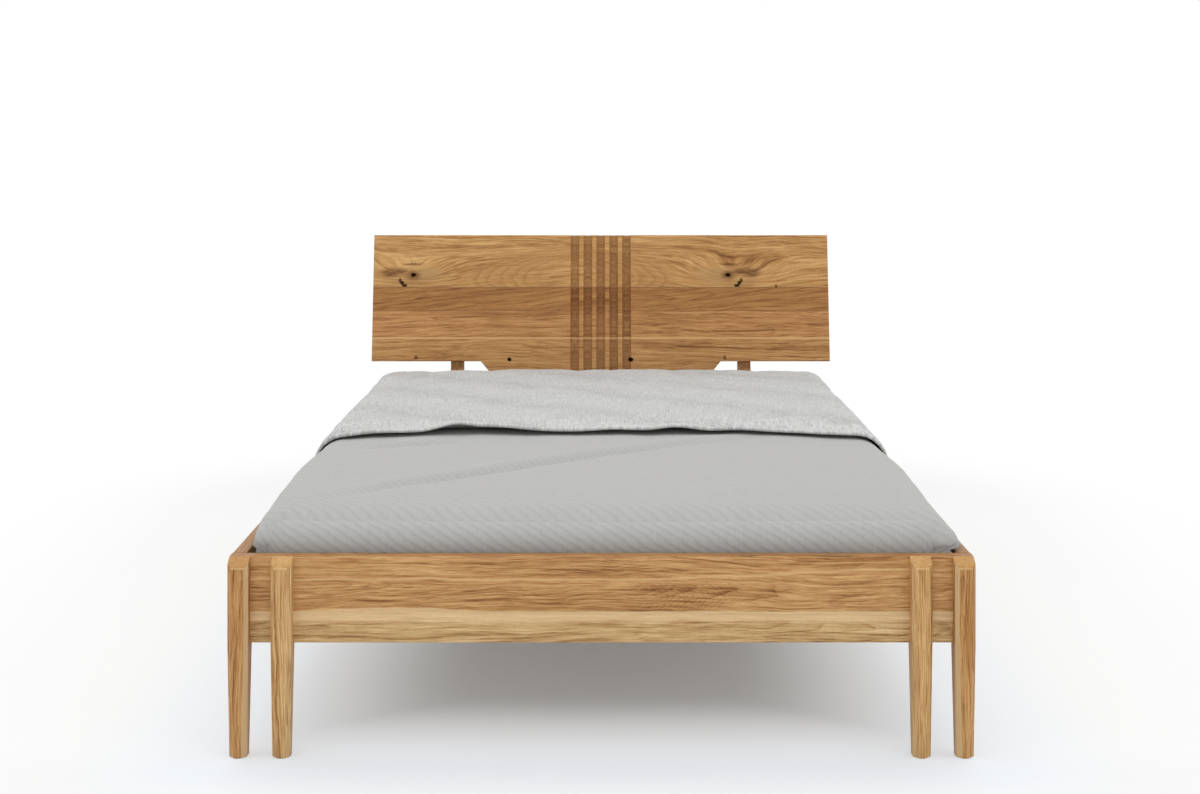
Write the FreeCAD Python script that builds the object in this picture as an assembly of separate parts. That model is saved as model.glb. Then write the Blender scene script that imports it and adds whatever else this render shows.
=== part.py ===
import FreeCAD, Part
import math
import os

# Double bed in oiled oak, for a 140 x 200 cm mattress. Paired legs lap the two end rails, a
# leaning headboard with five round flutes stands on two shaped posts, and the rails carry a
# slatted base, a mattress and its covers. Millimetres, +Z up, the foot end towards -Y.
# Pieces are drawn with y = 0 at the front faces of the foot legs and moved on saving, so
# that the origin is the middle of the bed's footprint on the floor.

# Mattress and the space round it
mattress_width = 1400.0
mattress_length = 2000.0
mattress_height = 150.0
mattress_corner = 45.0
mattress_edge = 26.0
mattress_crown = 5.0
side_gap = 22.0
end_gap = 6.0
lift_gap = 0.3

# Rails
rail_thickness = 28.0
rail_height = 175.0
rail_bottom = 225.0
rail_round = 2.5

# Legs
leg_width = 41.5
leg_proud = 28.0
leg_pair_gap = 45.0
leg_depth = 52.0
leg_bevel = 8.0
leg_top_drop = 16.0
leg_top_round = 12.0
leg_taper = 2.75
leg_back_taper = 10.0
leg_floor_bevel = 11.0
leg_floor_ease = 2.0

# Headboard panel
panel_thickness = 28.0
panel_height = 414.0
panel_lean = 9.4
panel_bottom = 516.0
panel_setback = 24.0
panel_round = 2.0
tab_half_width = 393.0
tab_drop = 80.0
tab_angle = 49.8
flute_count = 5
flute_pitch = 42.6
flute_width = 29.0
flute_depth = 12.5

# Posts behind the headboard
post_width = 42.5
post_centre = 471.0
post_depth = 70.0
post_top_depth = 24.0
post_lift = 15.0
post_reach = 240.0
post_lap = 15.0
post_bend_rise = 20.0
post_round = 3.0

# Slatted base
ledger_width = 25.0
ledger_height = 30.0
ledger_rise = 25.0
slat_count = 14
slat_width = 80.0
slat_thickness = 18.0
slat_end_gap = 5.0
slat_round = 3.0
strap_width = 30.0
strap_thickness = 1.2
strap_centre = 340.0

# Centre beam, its hangers and its leg
beam_width = 40.0
beam_height = 48.0
beam_gap = 0.5
hanger_sheet = 2.5
hanger_length = 40.0
hanger_wing = 20.0
centre_leg_taper = 4.0
adjuster_radius = 14.0
adjuster_height = 6.0
adjuster_thread = 8.0
adjuster_engaged = 20.0
stem_radius = 4.0
stud_radius = 4.0
stud_length = 50.0

# Steel corner brackets
bracket_arm = 50.0
bracket_height = 44.0
bracket_sheet = 4.0
bracket_rise = 6.0
bracket_clear = 6.0

# Fasteners
screw_radius = 2.5
screw_head_radius = 5.0
screw_head_height = 2.8
leg_screw_length = 45.0
leg_screw_inset = 35.0
ledger_screw_count = 5
ledger_screw_length = 45.0
bracket_screw_length = 24.0
bracket_screw_inset = 12.0
panel_screw_bite = 18.0
panel_screw_count = 3
bolt_radius = 4.0
bolt_head_radius = 8.0
bolt_head_height = 1.5
bolt_length = 75.0
bolt_inset = 45.0
barrel_radius = 6.0
barrel_length = 30.0
barrel_past_axis = 2.0

# Covers
cover_side = 11.0
cover_end = 3.0
cover_top = 41.0
cover_bottom = 330.0
cover_edge = 60.0
cover_foot_edge = 50.0
cover_head_edge = 30.0
cover_crown = 7.0
cover_arch = 22.0
cover_tuck = 5.0
fold_side = 6.0
fold_top = 13.0
fold_start = 850.0
fold_front_edge = 9.0
fold_bottom = 352.0

# Worked out from the sizes above
half_inside = mattress_width / 2 + side_gap
half_width = half_inside + rail_thickness
inner_foot = leg_proud + rail_thickness
inner_head = inner_foot + mattress_length + 2 * end_gap
outer_head = inner_head + rail_thickness
frame_length = outer_head + leg_proud
rail_top = rail_bottom + rail_height
ledger_bottom = rail_bottom + ledger_rise
ledger_top = ledger_bottom + ledger_height
beam_bottom = ledger_top - beam_height
slat_top = ledger_top + slat_thickness
mattress_bottom = slat_top + strap_thickness + lift_gap
mattress_top = mattress_bottom + mattress_height
panel_front = outer_head + panel_setback
lean = math.radians(panel_lean)
lean_back = math.sin(lean)
lean_up = math.cos(lean)
overall_length = panel_front + panel_height * lean_back + panel_thickness * lean_up

os.makedirs("parts", exist_ok=True)


# Saving a node, and the small drawing helpers that every piece uses
def save(name, shapes):
    """Write one node, which is one solid or several like ones, with the origin mid-length."""
    solids = shapes if isinstance(shapes, list) else [shapes]
    moved = []
    for solid in solids:
        copy = solid.copy()
        copy.translate(FreeCAD.Vector(0, -overall_length / 2, 0))
        moved.append(copy)
    result = moved[0] if len(moved) == 1 else Part.makeCompound(moved)
    result.exportStep("parts/" + name + ".step")


def point(x, y, z):
    return FreeCAD.Vector(x, y, z)


def box(x0, x1, y0, y1, z0, z1):
    return Part.makeBox(x1 - x0, y1 - y0, z1 - z0, point(x0, y0, z0))


def straight(start, end):
    return Part.LineSegment(start, end).toShape()


def curve(start, middle, end):
    return Part.Arc(start, middle, end).toShape()


def outline(points):
    """A closed outline of straight lines through the points."""
    return Part.makePolygon(points + points[:1])


def slab(wire, travel):
    """The outline filled and pushed along a vector."""
    return Part.Face(wire).extrude(travel)


def mirrored(solid):
    """The same piece on the other side of the bed."""
    return solid.mirror(point(0, 0, 0), point(1, 0, 0))


def softened(solid, radius, keep):
    """Round the edges that keep() picks by their bounding box."""
    edges = [edge for edge in solid.Edges if keep(edge.BoundBox)]
    return solid.makeFillet(radius, edges)


def corner_middle(centre_a, centre_b, radius, sign_a, sign_b):
    """The middle point of a quarter round about a centre, in any two axes."""
    reach = radius * math.sqrt(0.5)
    return centre_a + sign_a * reach, centre_b + sign_b * reach


# Screws and bolts lie along +Y, and have eight sides because there are so many of them
def eight_sides(radius, y):
    """An eight-sided outline round the Y axis, flat sides up and down."""
    corners = []
    for index in range(8):
        angle = math.radians(22.5 + 45 * index)
        reach = radius / math.cos(math.radians(22.5))
        corners.append(point(reach * math.cos(angle), y, reach * math.sin(angle)))
    return outline(corners)


def rod(radius, start, end):
    return slab(eight_sides(radius, start), point(0, end - start, 0))


def countersunk_screw(length):
    """A wood screw with its flat head flush at y = 0 and a plain shank."""
    head = Part.makeLoft([eight_sides(screw_head_radius, 0),
                          eight_sides(screw_radius, screw_head_height)], True, True)
    return head.fuse(rod(screw_radius, screw_head_height, length))


def flat_head_bolt(length):
    """A furniture bolt whose thin flat head stands on the surface at y = 0."""
    return rod(bolt_head_radius, -bolt_head_height, 0).fuse(rod(bolt_radius, 0, length))


def placed(solid, x, y, z, turn=0.0, tilt=0.0):
    """A copy tilted about X, turned about Z and moved to a place."""
    copy = solid.copy()
    copy.rotate(point(0, 0, 0), point(1, 0, 0), tilt)
    copy.rotate(point(0, 0, 0), point(0, 0, 1), turn)
    copy.translate(point(x, y, z))
    return copy


# A leg: a bevelled square that tapers from under the rail to the floor, mostly at its back.
# Its side outline holds the rebate for the end rail, the shoulder that carries the rail and
# the sloping rounded top.
def leg_section(inset, back_inset, bevel, height):
    """The leg's plan at one height, drawn in from its full width and depth."""
    half = leg_width / 2 - inset
    back = leg_depth - back_inset
    return outline([
        point(bevel - half, inset, height),
        point(half - bevel, inset, height),
        point(half, inset + bevel, height),
        point(half, back - bevel, height),
        point(half - bevel, back, height),
        point(bevel - half, back, height),
        point(-half, back - bevel, height),
        point(-half, inset + bevel, height),
    ])


def leg_side_outline():
    """The leg seen from the side: floor, front, rounded top, slope, rail lap and shoulder."""
    slope = math.atan2(leg_top_drop, leg_proud)
    front_top = rail_top - leg_top_drop
    trim = leg_top_round * math.tan((math.pi / 2 - slope) / 2)
    round_centre_z = front_top - trim
    half_turn = (math.pi / 2 + slope) / 2
    x = -leg_width / 2
    arc_start = point(x, 0, front_top - trim)
    arc_middle = point(x, leg_top_round - leg_top_round * math.cos(math.pi / 2 - half_turn),
                       round_centre_z + leg_top_round * math.sin(math.pi / 2 - half_turn))
    arc_end = point(x, trim * math.cos(slope), front_top + trim * math.sin(slope))
    back_top = point(x, leg_proud, rail_top)
    return Part.Wire([
        straight(point(x, 0, 0), arc_start),
        curve(arc_start, arc_middle, arc_end),
        straight(arc_end, back_top),
        straight(back_top, point(x, leg_proud, rail_bottom)),
        straight(point(x, leg_proud, rail_bottom), point(x, inner_foot, rail_bottom)),
        straight(point(x, inner_foot, rail_bottom), point(x, inner_foot, 0)),
        straight(point(x, inner_foot, 0), point(x, 0, 0)),
    ])


def leg():
    """One leg, centred on x = 0 with its outer face at y = 0 and the rail behind it."""
    blank = Part.makeLoft([
        leg_section(leg_taper + leg_floor_ease, leg_back_taper + leg_floor_ease, leg_floor_bevel, 0),
        leg_section(leg_taper, leg_back_taper, leg_floor_bevel, leg_floor_ease),
        leg_section(0, 0, leg_bevel, rail_bottom),
        leg_section(0, 0, leg_bevel, rail_top),
    ], True, True)
    return blank.common(slab(leg_side_outline(), point(leg_width, 0, 0)))


leg_centre_outer = half_width - leg_width / 2
leg_centre_inner = leg_centre_outer - leg_width - leg_pair_gap
leg_places = {
    "outer_left": -leg_centre_outer,
    "inner_left": -leg_centre_inner,
    "inner_right": leg_centre_inner,
    "outer_right": leg_centre_outer,
}
leg_screw = countersunk_screw(leg_screw_length)
leg_screw_heights = [rail_bottom + leg_screw_inset, rail_top - leg_screw_inset]
foot_leg_screws = []
head_leg_screws = []
for x in leg_places.values():
    for z in leg_screw_heights:
        foot_leg_screws.append(placed(leg_screw, x, inner_foot, z, turn=180))
        head_leg_screws.append(placed(leg_screw, x, inner_head, z))
save("leg_screws_foot", foot_leg_screws)
save("leg_screws_head", head_leg_screws)

for name, x in leg_places.items():
    foot_leg = placed(leg(), x, 0, 0)
    head_leg = placed(leg(), x, frame_length, 0, turn=180)
    save("foot_leg_" + name, foot_leg.cut(foot_leg_screws))
    save("head_leg_" + name, head_leg.cut(head_leg_screws))


# Steel corner brackets that hold the side rails to the end rails, with their screws
def corner_bracket(x, y, side, way):
    """An angle of sheet in the corner at x, y; side and way point into the bed."""
    low = rail_bottom + bracket_rise
    arms = []
    for arm_x, arm_y in ((bracket_arm, bracket_sheet), (bracket_sheet, bracket_arm)):
        x_ends = sorted([x, x + side * arm_x])
        y_ends = sorted([y, y + way * arm_y])
        arms.append(box(x_ends[0], x_ends[1], y_ends[0], y_ends[1], low, low + bracket_height))
    return arms[0].fuse(arms[1]).removeSplitter()


def bracket_screws(x, y, side, way):
    """Four screws: two through the arm on the end rail and two through the side arm."""
    screw = countersunk_screw(bracket_screw_length)
    low = rail_bottom + bracket_rise + bracket_screw_inset
    high = rail_bottom + bracket_rise + bracket_height - bracket_screw_inset
    screws = []
    for z in (low, high):
        along = bracket_arm - bracket_screw_inset
        screws.append(placed(screw, x + side * along, y + way * bracket_sheet, z,
                             turn=180 if way > 0 else 0))
        screws.append(placed(screw, x + side * bracket_sheet, y + way * along, z,
                             turn=-90 if side < 0 else 90))
    return screws


bracket_corners = {
    "foot_left": (-half_inside, inner_foot, 1, 1),
    "foot_right": (half_inside, inner_foot, -1, 1),
    "head_left": (-half_inside, inner_head, 1, -1),
    "head_right": (half_inside, inner_head, -1, -1),
}
all_bracket_screws = []
for name, corner in bracket_corners.items():
    screws = bracket_screws(*corner)
    all_bracket_screws += screws
    save("corner_bracket_" + name, corner_bracket(*corner).cut(screws))
save("bracket_screws", all_bracket_screws)

# Ledger strips along the side rails, which carry the ends of the slats
ledger_start = inner_foot + bracket_arm + bracket_clear
ledger_end = inner_head - bracket_arm - bracket_clear
ledger_screws = []
ledger_screw = countersunk_screw(ledger_screw_length)
ledger_screw_pitch = (ledger_end - ledger_start) / ledger_screw_count
for index in range(ledger_screw_count):
    y = ledger_start + (index + 0.5) * ledger_screw_pitch
    z = ledger_bottom + ledger_height / 2
    ledger_screws.append(placed(ledger_screw, half_inside - ledger_width, y, z, turn=-90))
    ledger_screws.append(placed(ledger_screw, ledger_width - half_inside, y, z, turn=90))
save("ledger_screws", ledger_screws)
ledger = box(half_inside - ledger_width, half_inside, ledger_start, ledger_end, ledger_bottom, ledger_top)
save("slat_ledger_right", ledger.cut(ledger_screws))
save("slat_ledger_left", mirrored(ledger).cut(ledger_screws))


# Centre beam, the two sheet hangers that carry its ends and the leg under its middle
def beam_hanger(y, way):
    """A sheet stirrup on an end rail's inside face, open at the top; way points into the bed."""
    half = beam_width / 2 + beam_gap + hanger_sheet
    low = beam_bottom - hanger_sheet
    y_plate = sorted([y, y + way * hanger_sheet])
    y_cup = sorted([y, y + way * hanger_length])
    cup = box(-half, half, y_cup[0], y_cup[1], low, ledger_top - hanger_sheet)
    hollow = box(hanger_sheet - half, half - hanger_sheet, y_cup[0], y_cup[1], beam_bottom, ledger_top)
    wings = box(-half - hanger_wing, half + hanger_wing, y_plate[0], y_plate[1], low,
                ledger_top - hanger_sheet)
    return cup.cut(hollow).fuse(wings).removeSplitter()


hanger_screws = []
hanger_screw_x = beam_width / 2 + beam_gap + hanger_sheet + hanger_wing / 2
hanger_screw = countersunk_screw(bracket_screw_length)
for x in (-hanger_screw_x, hanger_screw_x):
    z = beam_bottom + beam_height / 2
    hanger_screws.append(placed(hanger_screw, x, inner_foot + hanger_sheet, z, turn=180))
    hanger_screws.append(placed(hanger_screw, x, inner_head - hanger_sheet, z))
save("hanger_screws", hanger_screws)
save("beam_hanger_foot", beam_hanger(inner_foot, 1).cut(hanger_screws))
save("beam_hanger_head", beam_hanger(inner_head, -1).cut(hanger_screws))

middle_length = (inner_foot + inner_head) / 2
beam_start = inner_foot + hanger_sheet + beam_gap
beam_end = inner_head - hanger_sheet - beam_gap
stud = placed(rod(stud_radius, 0, stud_length), 0, middle_length, beam_bottom - stud_length / 2, tilt=90)
save("centre_leg_stud", stud)
beam = box(-beam_width / 2, beam_width / 2, beam_start, beam_end, beam_bottom, ledger_top)
save("centre_beam", beam.cut(stud))


def square_section(half, height):
    """A square plan about the middle of the bed at one height."""
    return outline([
        point(-half, middle_length - half, height),
        point(half, middle_length - half, height),
        point(half, middle_length + half, height),
        point(-half, middle_length + half, height),
    ])


# The leg under the beam stands on a screw adjuster, which reaches up into it
leg_foot = adjuster_height + adjuster_thread
centre_leg = Part.makeLoft([
    square_section(beam_width / 2 - centre_leg_taper, leg_foot),
    square_section(beam_width / 2, beam_bottom),
], True, True)
adjuster_disc = Part.makeCylinder(adjuster_radius, adjuster_height, point(0, middle_length, 0))
adjuster_stem = placed(rod(stem_radius, 0, adjuster_thread + adjuster_engaged),
                       0, middle_length, adjuster_height, tilt=90)
adjuster = adjuster_disc.fuse(adjuster_stem).removeSplitter()
save("centre_leg_adjuster", adjuster)
save("centre_leg", centre_leg.cut([stud, adjuster]))

# Slats on the ledgers and the beam, spaced evenly, and the two straps that join them
slat_pitch = (ledger_end - ledger_start - slat_width) / (slat_count - 1)
slat_half = half_inside - slat_end_gap
for index in range(slat_count):
    y = ledger_start + index * slat_pitch
    blank = box(-slat_half, slat_half, y, y + slat_width, ledger_top, slat_top)
    slat = softened(blank, slat_round,
                    lambda bounds: bounds.XLength > slat_half and bounds.ZMin > ledger_top + slat_thickness / 2)
    save("slat_%02d" % (index + 1), slat)

strap = box(strap_centre - strap_width / 2, strap_centre + strap_width / 2,
            ledger_start, ledger_end, slat_top, slat_top + strap_thickness)
save("slat_strap_right", strap)
save("slat_strap_left", mirrored(strap))


# Posts that carry the headboard on the outside of the head rail. A place on the leaning
# panel is a distance up it and a depth behind its front face.
def on_panel(up, behind):
    """The y and z of a place on the panel."""
    y = panel_front + up * lean_back + behind * lean_up
    z = panel_bottom + up * lean_up - behind * lean_back
    return y, z


def headboard_post():
    """A sawn post: upright on the rail, then bent back to lie along the panel."""
    low = rail_bottom + post_lift
    back = outer_head + post_depth
    x = post_centre - post_width / 2
    post_back = panel_thickness + post_top_depth
    shape = slab(outline([
        point(x, outer_head, low),
        point(x, outer_head, rail_top),
        point(x, *on_panel(-post_lap, panel_thickness)),
        point(x, *on_panel(post_reach, panel_thickness)),
        point(x, *on_panel(post_reach, post_back)),
        point(x, *on_panel(0, post_back)),
        point(x, back, rail_top + post_bend_rise),
        point(x, back, low),
    ]), point(post_width, 0, 0))
    return softened(shape, post_round,
                    lambda bounds: bounds.XLength < 1 and bounds.YMin > back - 1)


post_bolts = []
barrel_nuts = []
bolt = flat_head_bolt(bolt_length)
for side in (-1, 1):
    for z in (rail_bottom + bolt_inset, rail_top - bolt_inset):
        driven = placed(bolt, side * post_centre, inner_head, z)
        face = side * (post_centre - post_width / 2)
        barrel = placed(rod(barrel_radius, 0, barrel_length), face,
                        inner_head + bolt_length - barrel_past_axis, z, turn=-90 * side)
        post_bolts.append(driven)
        barrel_nuts.append(barrel.cut(driven))
save("post_bolts", post_bolts)
save("post_barrel_nuts", barrel_nuts)

panel_screws = []
panel_screw = countersunk_screw(post_top_depth + panel_screw_bite)
for side in (-1, 1):
    for index in range(panel_screw_count):
        up = (index + 0.5) * post_reach / panel_screw_count
        y, z = on_panel(up, panel_thickness + post_top_depth)
        panel_screws.append(placed(panel_screw, side * post_centre, y, z, turn=180, tilt=panel_lean))
save("headboard_screws", panel_screws)

post = headboard_post()
save("headboard_post_right", post.cut(post_bolts + barrel_nuts + panel_screws))
save("headboard_post_left", mirrored(post).cut(post_bolts + barrel_nuts + panel_screws))


# The headboard: a square-edged panel with a slanted tab below its middle, five round
# flutes down the front, leaned back and set on the posts
def headboard():
    """The panel drawn upright with its front at y = 0 and its wings' lower edge at z = 0."""
    slant = tab_drop / math.tan(math.radians(tab_angle))
    blank = slab(outline([
        point(-half_width, 0, 0),
        point(-half_width, 0, panel_height),
        point(half_width, 0, panel_height),
        point(half_width, 0, 0),
        point(tab_half_width, 0, 0),
        point(tab_half_width - slant, 0, -tab_drop),
        point(slant - tab_half_width, 0, -tab_drop),
        point(-tab_half_width, 0, 0),
    ]), point(0, panel_thickness, 0))
    panel = softened(blank, panel_round, lambda bounds: bounds.YLength < panel_thickness / 2)
    flute_radius = ((flute_width / 2) ** 2 + flute_depth ** 2) / (2 * flute_depth)
    cutter = Part.makeCylinder(flute_radius, panel_height + 2 * tab_drop,
                               point(0, flute_depth - flute_radius, -1.5 * tab_drop))
    for index in range(flute_count):
        flute = cutter.copy()
        flute.translate(point((index - (flute_count - 1) / 2) * flute_pitch, 0, 0))
        panel = panel.cut(flute)
    return placed(panel, 0, panel_front, panel_bottom, tilt=-panel_lean)


save("headboard_panel", headboard().cut(panel_screws))


# Rails. The end rails run the full width behind the legs, and the side rails stand between.
def rail(x0, x1, y0, y1):
    """A rail with its four long edges rounded."""
    blank = box(x0, x1, y0, y1, rail_bottom, rail_top)
    long_side = max(x1 - x0, y1 - y0)
    return softened(blank, rail_round, lambda bounds: max(bounds.XLength, bounds.YLength) > long_side / 2)


foot_rail = rail(-half_width, half_width, leg_proud, inner_foot)
head_rail = rail(-half_width, half_width, inner_head, outer_head)
side_rail = rail(half_inside, half_width, inner_foot, inner_head)
rail_screws = all_bracket_screws + hanger_screws
save("foot_rail", foot_rail.cut(foot_leg_screws + rail_screws))
save("head_rail", head_rail.cut(head_leg_screws + rail_screws + post_bolts))
save("side_rail_right", side_rail.cut(all_bracket_screws + ledger_screws))
save("side_rail_left", mirrored(side_rail).cut(all_bracket_screws + ledger_screws))


# Mattress and covers. A cushion is what three outlines share: across, along and in plan.
def cushion(half, start, end, low, top, crown, side_edge, foot_edge, head_edge, corner, tuck, sink):
    """A crowned soft block with rounded shoulders and ends, drawn in towards its underside.

    Its middle line lies below the peak by sink, which takes a distance along the bed."""
    side_x, side_z = corner_middle(half - side_edge, top - side_edge, side_edge, 1, 1)
    shoulder = point(half, start, top - side_edge)
    rim = point(half - side_edge, start, top)
    left_rim = point(side_edge - half, start, top)
    left_shoulder = point(-half, start, top - side_edge)
    across = Part.Wire([
        straight(point(half - tuck, start, low), shoulder),
        curve(shoulder, point(side_x, start, side_z), rim),
        curve(rim, point(0, start, top + crown), left_rim),
        curve(left_rim, point(-side_x, start, side_z), left_shoulder),
        straight(left_shoulder, point(tuck - half, start, low)),
        straight(point(tuck - half, start, low), point(half - tuck, start, low)),
    ])
    peak = top + crown
    foot_top = peak - sink(start + foot_edge)
    head_top = peak - sink(end - head_edge)
    middle = (start + foot_edge + end - head_edge) / 2
    foot_y, foot_z = corner_middle(start + foot_edge, foot_top - foot_edge, foot_edge, -1, 1)
    head_y, head_z = corner_middle(end - head_edge, head_top - head_edge, head_edge, 1, 1)
    foot_shoulder = point(-half, start, foot_top - foot_edge)
    foot_rim = point(-half, start + foot_edge, foot_top)
    head_rim = point(-half, end - head_edge, head_top)
    head_shoulder = point(-half, end, head_top - head_edge)
    if foot_top == peak:
        ridge = straight(foot_rim, head_rim)
    else:
        ridge = curve(foot_rim, point(-half, middle, peak - sink(middle)), head_rim)
    along = Part.Wire([
        straight(point(-half, start, low), foot_shoulder),
        curve(foot_shoulder, point(-half, foot_y, foot_z), foot_rim),
        ridge,
        curve(head_rim, point(-half, head_y, head_z), head_shoulder),
        straight(head_shoulder, point(-half, end, low)),
        straight(point(-half, end, low), point(-half, start, low)),
    ])
    plan = softened(box(-half, half, start, end, low, peak), corner,
                    lambda bounds: bounds.ZLength > (peak - low) / 2)
    block = slab(across, point(0, end - start, 0)).common(slab(along, point(2 * half, 0, 0)))
    return block.common(plan)


mattress_start = inner_foot + end_gap
mattress_end = mattress_start + mattress_length
mattress_middle = (mattress_start + mattress_end) / 2


def level(distance):
    """The mattress has a level middle line."""
    return 0.0


def arched(distance):
    """The covers bulk up in the middle of the bed and thin towards both ends, as a parabola."""
    return cover_arch * ((distance - mattress_middle) / (mattress_length / 2)) ** 2


mattress = cushion(mattress_width / 2, mattress_start, mattress_end, mattress_bottom, mattress_top,
                   mattress_crown, mattress_edge, mattress_edge, mattress_edge, mattress_corner, 0,
                   level)
cover_half = mattress_width / 2 + cover_side
cover_outer = cushion(cover_half, mattress_start - cover_end, mattress_end + cover_end, cover_bottom,
                      mattress_top + cover_top, cover_crown, cover_edge, cover_foot_edge,
                      cover_head_edge, mattress_corner, cover_tuck, arched)
fold_outer = cushion(cover_half + fold_side, fold_start, mattress_end + cover_end, fold_bottom,
                     mattress_top + cover_top + fold_top, cover_crown, cover_edge + fold_side,
                     fold_front_edge, cover_head_edge, fold_front_edge, cover_tuck, arched)
save("mattress", mattress)
save("bed_cover", cover_outer.cut(mattress))
save("turned_cover", fold_outer.cut(cover_outer))
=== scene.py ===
import math

import bmesh
import bpy
import numpy as np
from mathutils import Matrix, Vector


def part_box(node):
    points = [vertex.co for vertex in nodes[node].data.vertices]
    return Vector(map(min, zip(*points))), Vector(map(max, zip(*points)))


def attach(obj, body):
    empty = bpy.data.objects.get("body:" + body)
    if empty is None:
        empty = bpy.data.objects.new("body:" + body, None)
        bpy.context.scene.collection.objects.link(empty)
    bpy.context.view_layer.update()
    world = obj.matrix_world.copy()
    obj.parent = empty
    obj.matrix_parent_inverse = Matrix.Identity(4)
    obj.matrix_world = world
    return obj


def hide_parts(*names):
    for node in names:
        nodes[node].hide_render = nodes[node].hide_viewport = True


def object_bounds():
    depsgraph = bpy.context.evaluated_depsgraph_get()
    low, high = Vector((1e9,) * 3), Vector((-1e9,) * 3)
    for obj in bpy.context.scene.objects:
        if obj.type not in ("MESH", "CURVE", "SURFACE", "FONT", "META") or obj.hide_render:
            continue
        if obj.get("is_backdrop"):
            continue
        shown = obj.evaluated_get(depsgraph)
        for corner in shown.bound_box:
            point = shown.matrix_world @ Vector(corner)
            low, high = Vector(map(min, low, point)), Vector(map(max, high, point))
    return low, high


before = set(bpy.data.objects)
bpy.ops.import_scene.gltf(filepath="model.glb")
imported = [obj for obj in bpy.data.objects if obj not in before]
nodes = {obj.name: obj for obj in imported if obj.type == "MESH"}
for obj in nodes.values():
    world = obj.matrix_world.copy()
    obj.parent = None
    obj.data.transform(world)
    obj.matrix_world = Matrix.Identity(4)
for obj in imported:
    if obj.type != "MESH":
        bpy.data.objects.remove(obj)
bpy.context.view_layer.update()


# The rails of the bed: solid oak boards, each glued up from three or four staves with their
# grain along the board, planed, eased on the edges and finished with clear oil. The end rails
# stand between the legs and the side rails butt against them on steel corner brackets.
def add(tree, kind, inputs=(), **settings):
    """A node of that kind, its settings made and its named or numbered inputs set or linked."""
    node = tree.nodes.new("ShaderNode" + kind)
    for name, value in settings.items():
        setattr(node, name, value)
    for key, value in dict(inputs).items():
        if isinstance(value, bpy.types.NodeSocket):
            tree.links.new(value, node.inputs[key])
        elif node.inputs[key].type == "RGBA" and len(value) == 3:
            node.inputs[key].default_value = (*value, 1.0)
        else:
            node.inputs[key].default_value = value
    return node


def reckon(tree, operation, *terms):
    """One step of arithmetic on numbers or sockets."""
    return add(tree, "Math", enumerate(terms), operation=operation).outputs[0]


def times(tree, value, factor):
    """One number times another."""
    return reckon(tree, "MULTIPLY", value, factor)


def apart(tree, value, other):
    """How far apart two numbers are."""
    return reckon(tree, "ABSOLUTE", minus(tree, value, other))


def scaled(tree, value, factor, start):
    """A number times a factor, on top of a start."""
    return reckon(tree, "MULTIPLY_ADD", value, factor, start)


def minus(tree, value, taken):
    """One number less another."""
    return reckon(tree, "SUBTRACT", value, taken)


def shift(tree, operation, *terms):
    """One step of arithmetic on vectors or vector sockets."""
    return add(tree, "VectorMath", enumerate(terms), operation=operation).outputs[0]


def far_from(tree, place, centre, size):
    """How far a place lies from a centre across a board, as a multiple of the size."""
    away = shift(tree, "DIVIDE", shift(tree, "SUBTRACT", place, centre), size)
    away = shift(tree, "MULTIPLY", away, (1, 1, 0))
    return add(tree, "VectorMath", {0: away}, operation="LENGTH").outputs["Value"]


def split(tree, vector):
    """The x, y and z of a vector."""
    return add(tree, "SeparateXYZ", {0: vector}).outputs


def between(tree, value, start, end, low=0.0, high=1.0):
    """A smooth step that goes from low to high while value goes from start to end."""
    return add(tree, "MapRange", {"Value": value, "From Min": start, "From Max": end, "To Min": low,
        "To Max": high}, interpolation_type="SMOOTHSTEP").outputs[0]


def cloudy(tree, place, stretch, detail=2.0, roughness=0.5, output="Fac"):
    """Noise about a half, stretched by the three scales given."""
    spot = shift(tree, "MULTIPLY", place, stretch)
    return add(tree, "TexNoise", {"Vector": spot, "Scale": 1.0, "Detail": detail,
        "Roughness": roughness}).outputs[output]


def shake(tree, place, stretch, reach):
    """Noise that pushes a place each way, up to half of each reach."""
    noise = cloudy(tree, place, stretch, output="Color")
    return shift(tree, "MULTIPLY", shift(tree, "SUBTRACT", noise, (0.5, 0.5, 0.5)), reach)


def saw(tree, value, sharpness):
    """Teeth along a value, one to each whole number, that rise slowly and then fast."""
    return reckon(tree, "POWER", reckon(tree, "FRACT", value), sharpness)


def paint(tree, mode, factor, under, over):
    """One colour laid on another with a blend mode."""
    return add(tree, "Mix", {0: factor, 6: under, 7: over}, data_type="RGBA", blend_type=mode).outputs[2]


def ramp(tree, value, stops, interpolation="LINEAR"):
    """A colour ramp with the given (position, colour) stops."""
    node = add(tree, "ValToRGB", {0: value})
    node.color_ramp.interpolation = interpolation
    spare = node.color_ramp.elements
    spare.remove(spare[1])
    spare[0].position = stops[0][0]
    spare[0].color = (*stops[0][1], 1.0)
    for position, colour in stops[1:]:
        spare.new(position).color = (*colour, 1.0)
    return node.outputs[0]


def group(name, inputs, outputs):
    """An empty shader group with its named sockets: the tree, what goes in, and what comes out."""
    tree = bpy.data.node_groups.new(name, "ShaderNodeTree")
    for label, kind, value in inputs:
        socket = tree.interface.new_socket(label, in_out="INPUT", socket_type="NodeSocket" + kind)
        if value is not None:
            socket.default_value = value
    for label, kind in outputs:
        tree.interface.new_socket(label, in_out="OUTPUT", socket_type="NodeSocket" + kind)
    return tree, tree.nodes.new("NodeGroupInput").outputs, tree.nodes.new("NodeGroupOutput").inputs


def seen(red, green, blue):
    """A colour as a screen shows it, 0 to 255, turned into the linear values that light uses."""
    parts = np.array([red, green, blue]) / 255.0
    curved = np.where(parts <= 0.04045, parts / 12.92, ((parts + 0.055) / 1.055) ** 2.4)
    return tuple(float(v) for v in curved)


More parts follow.
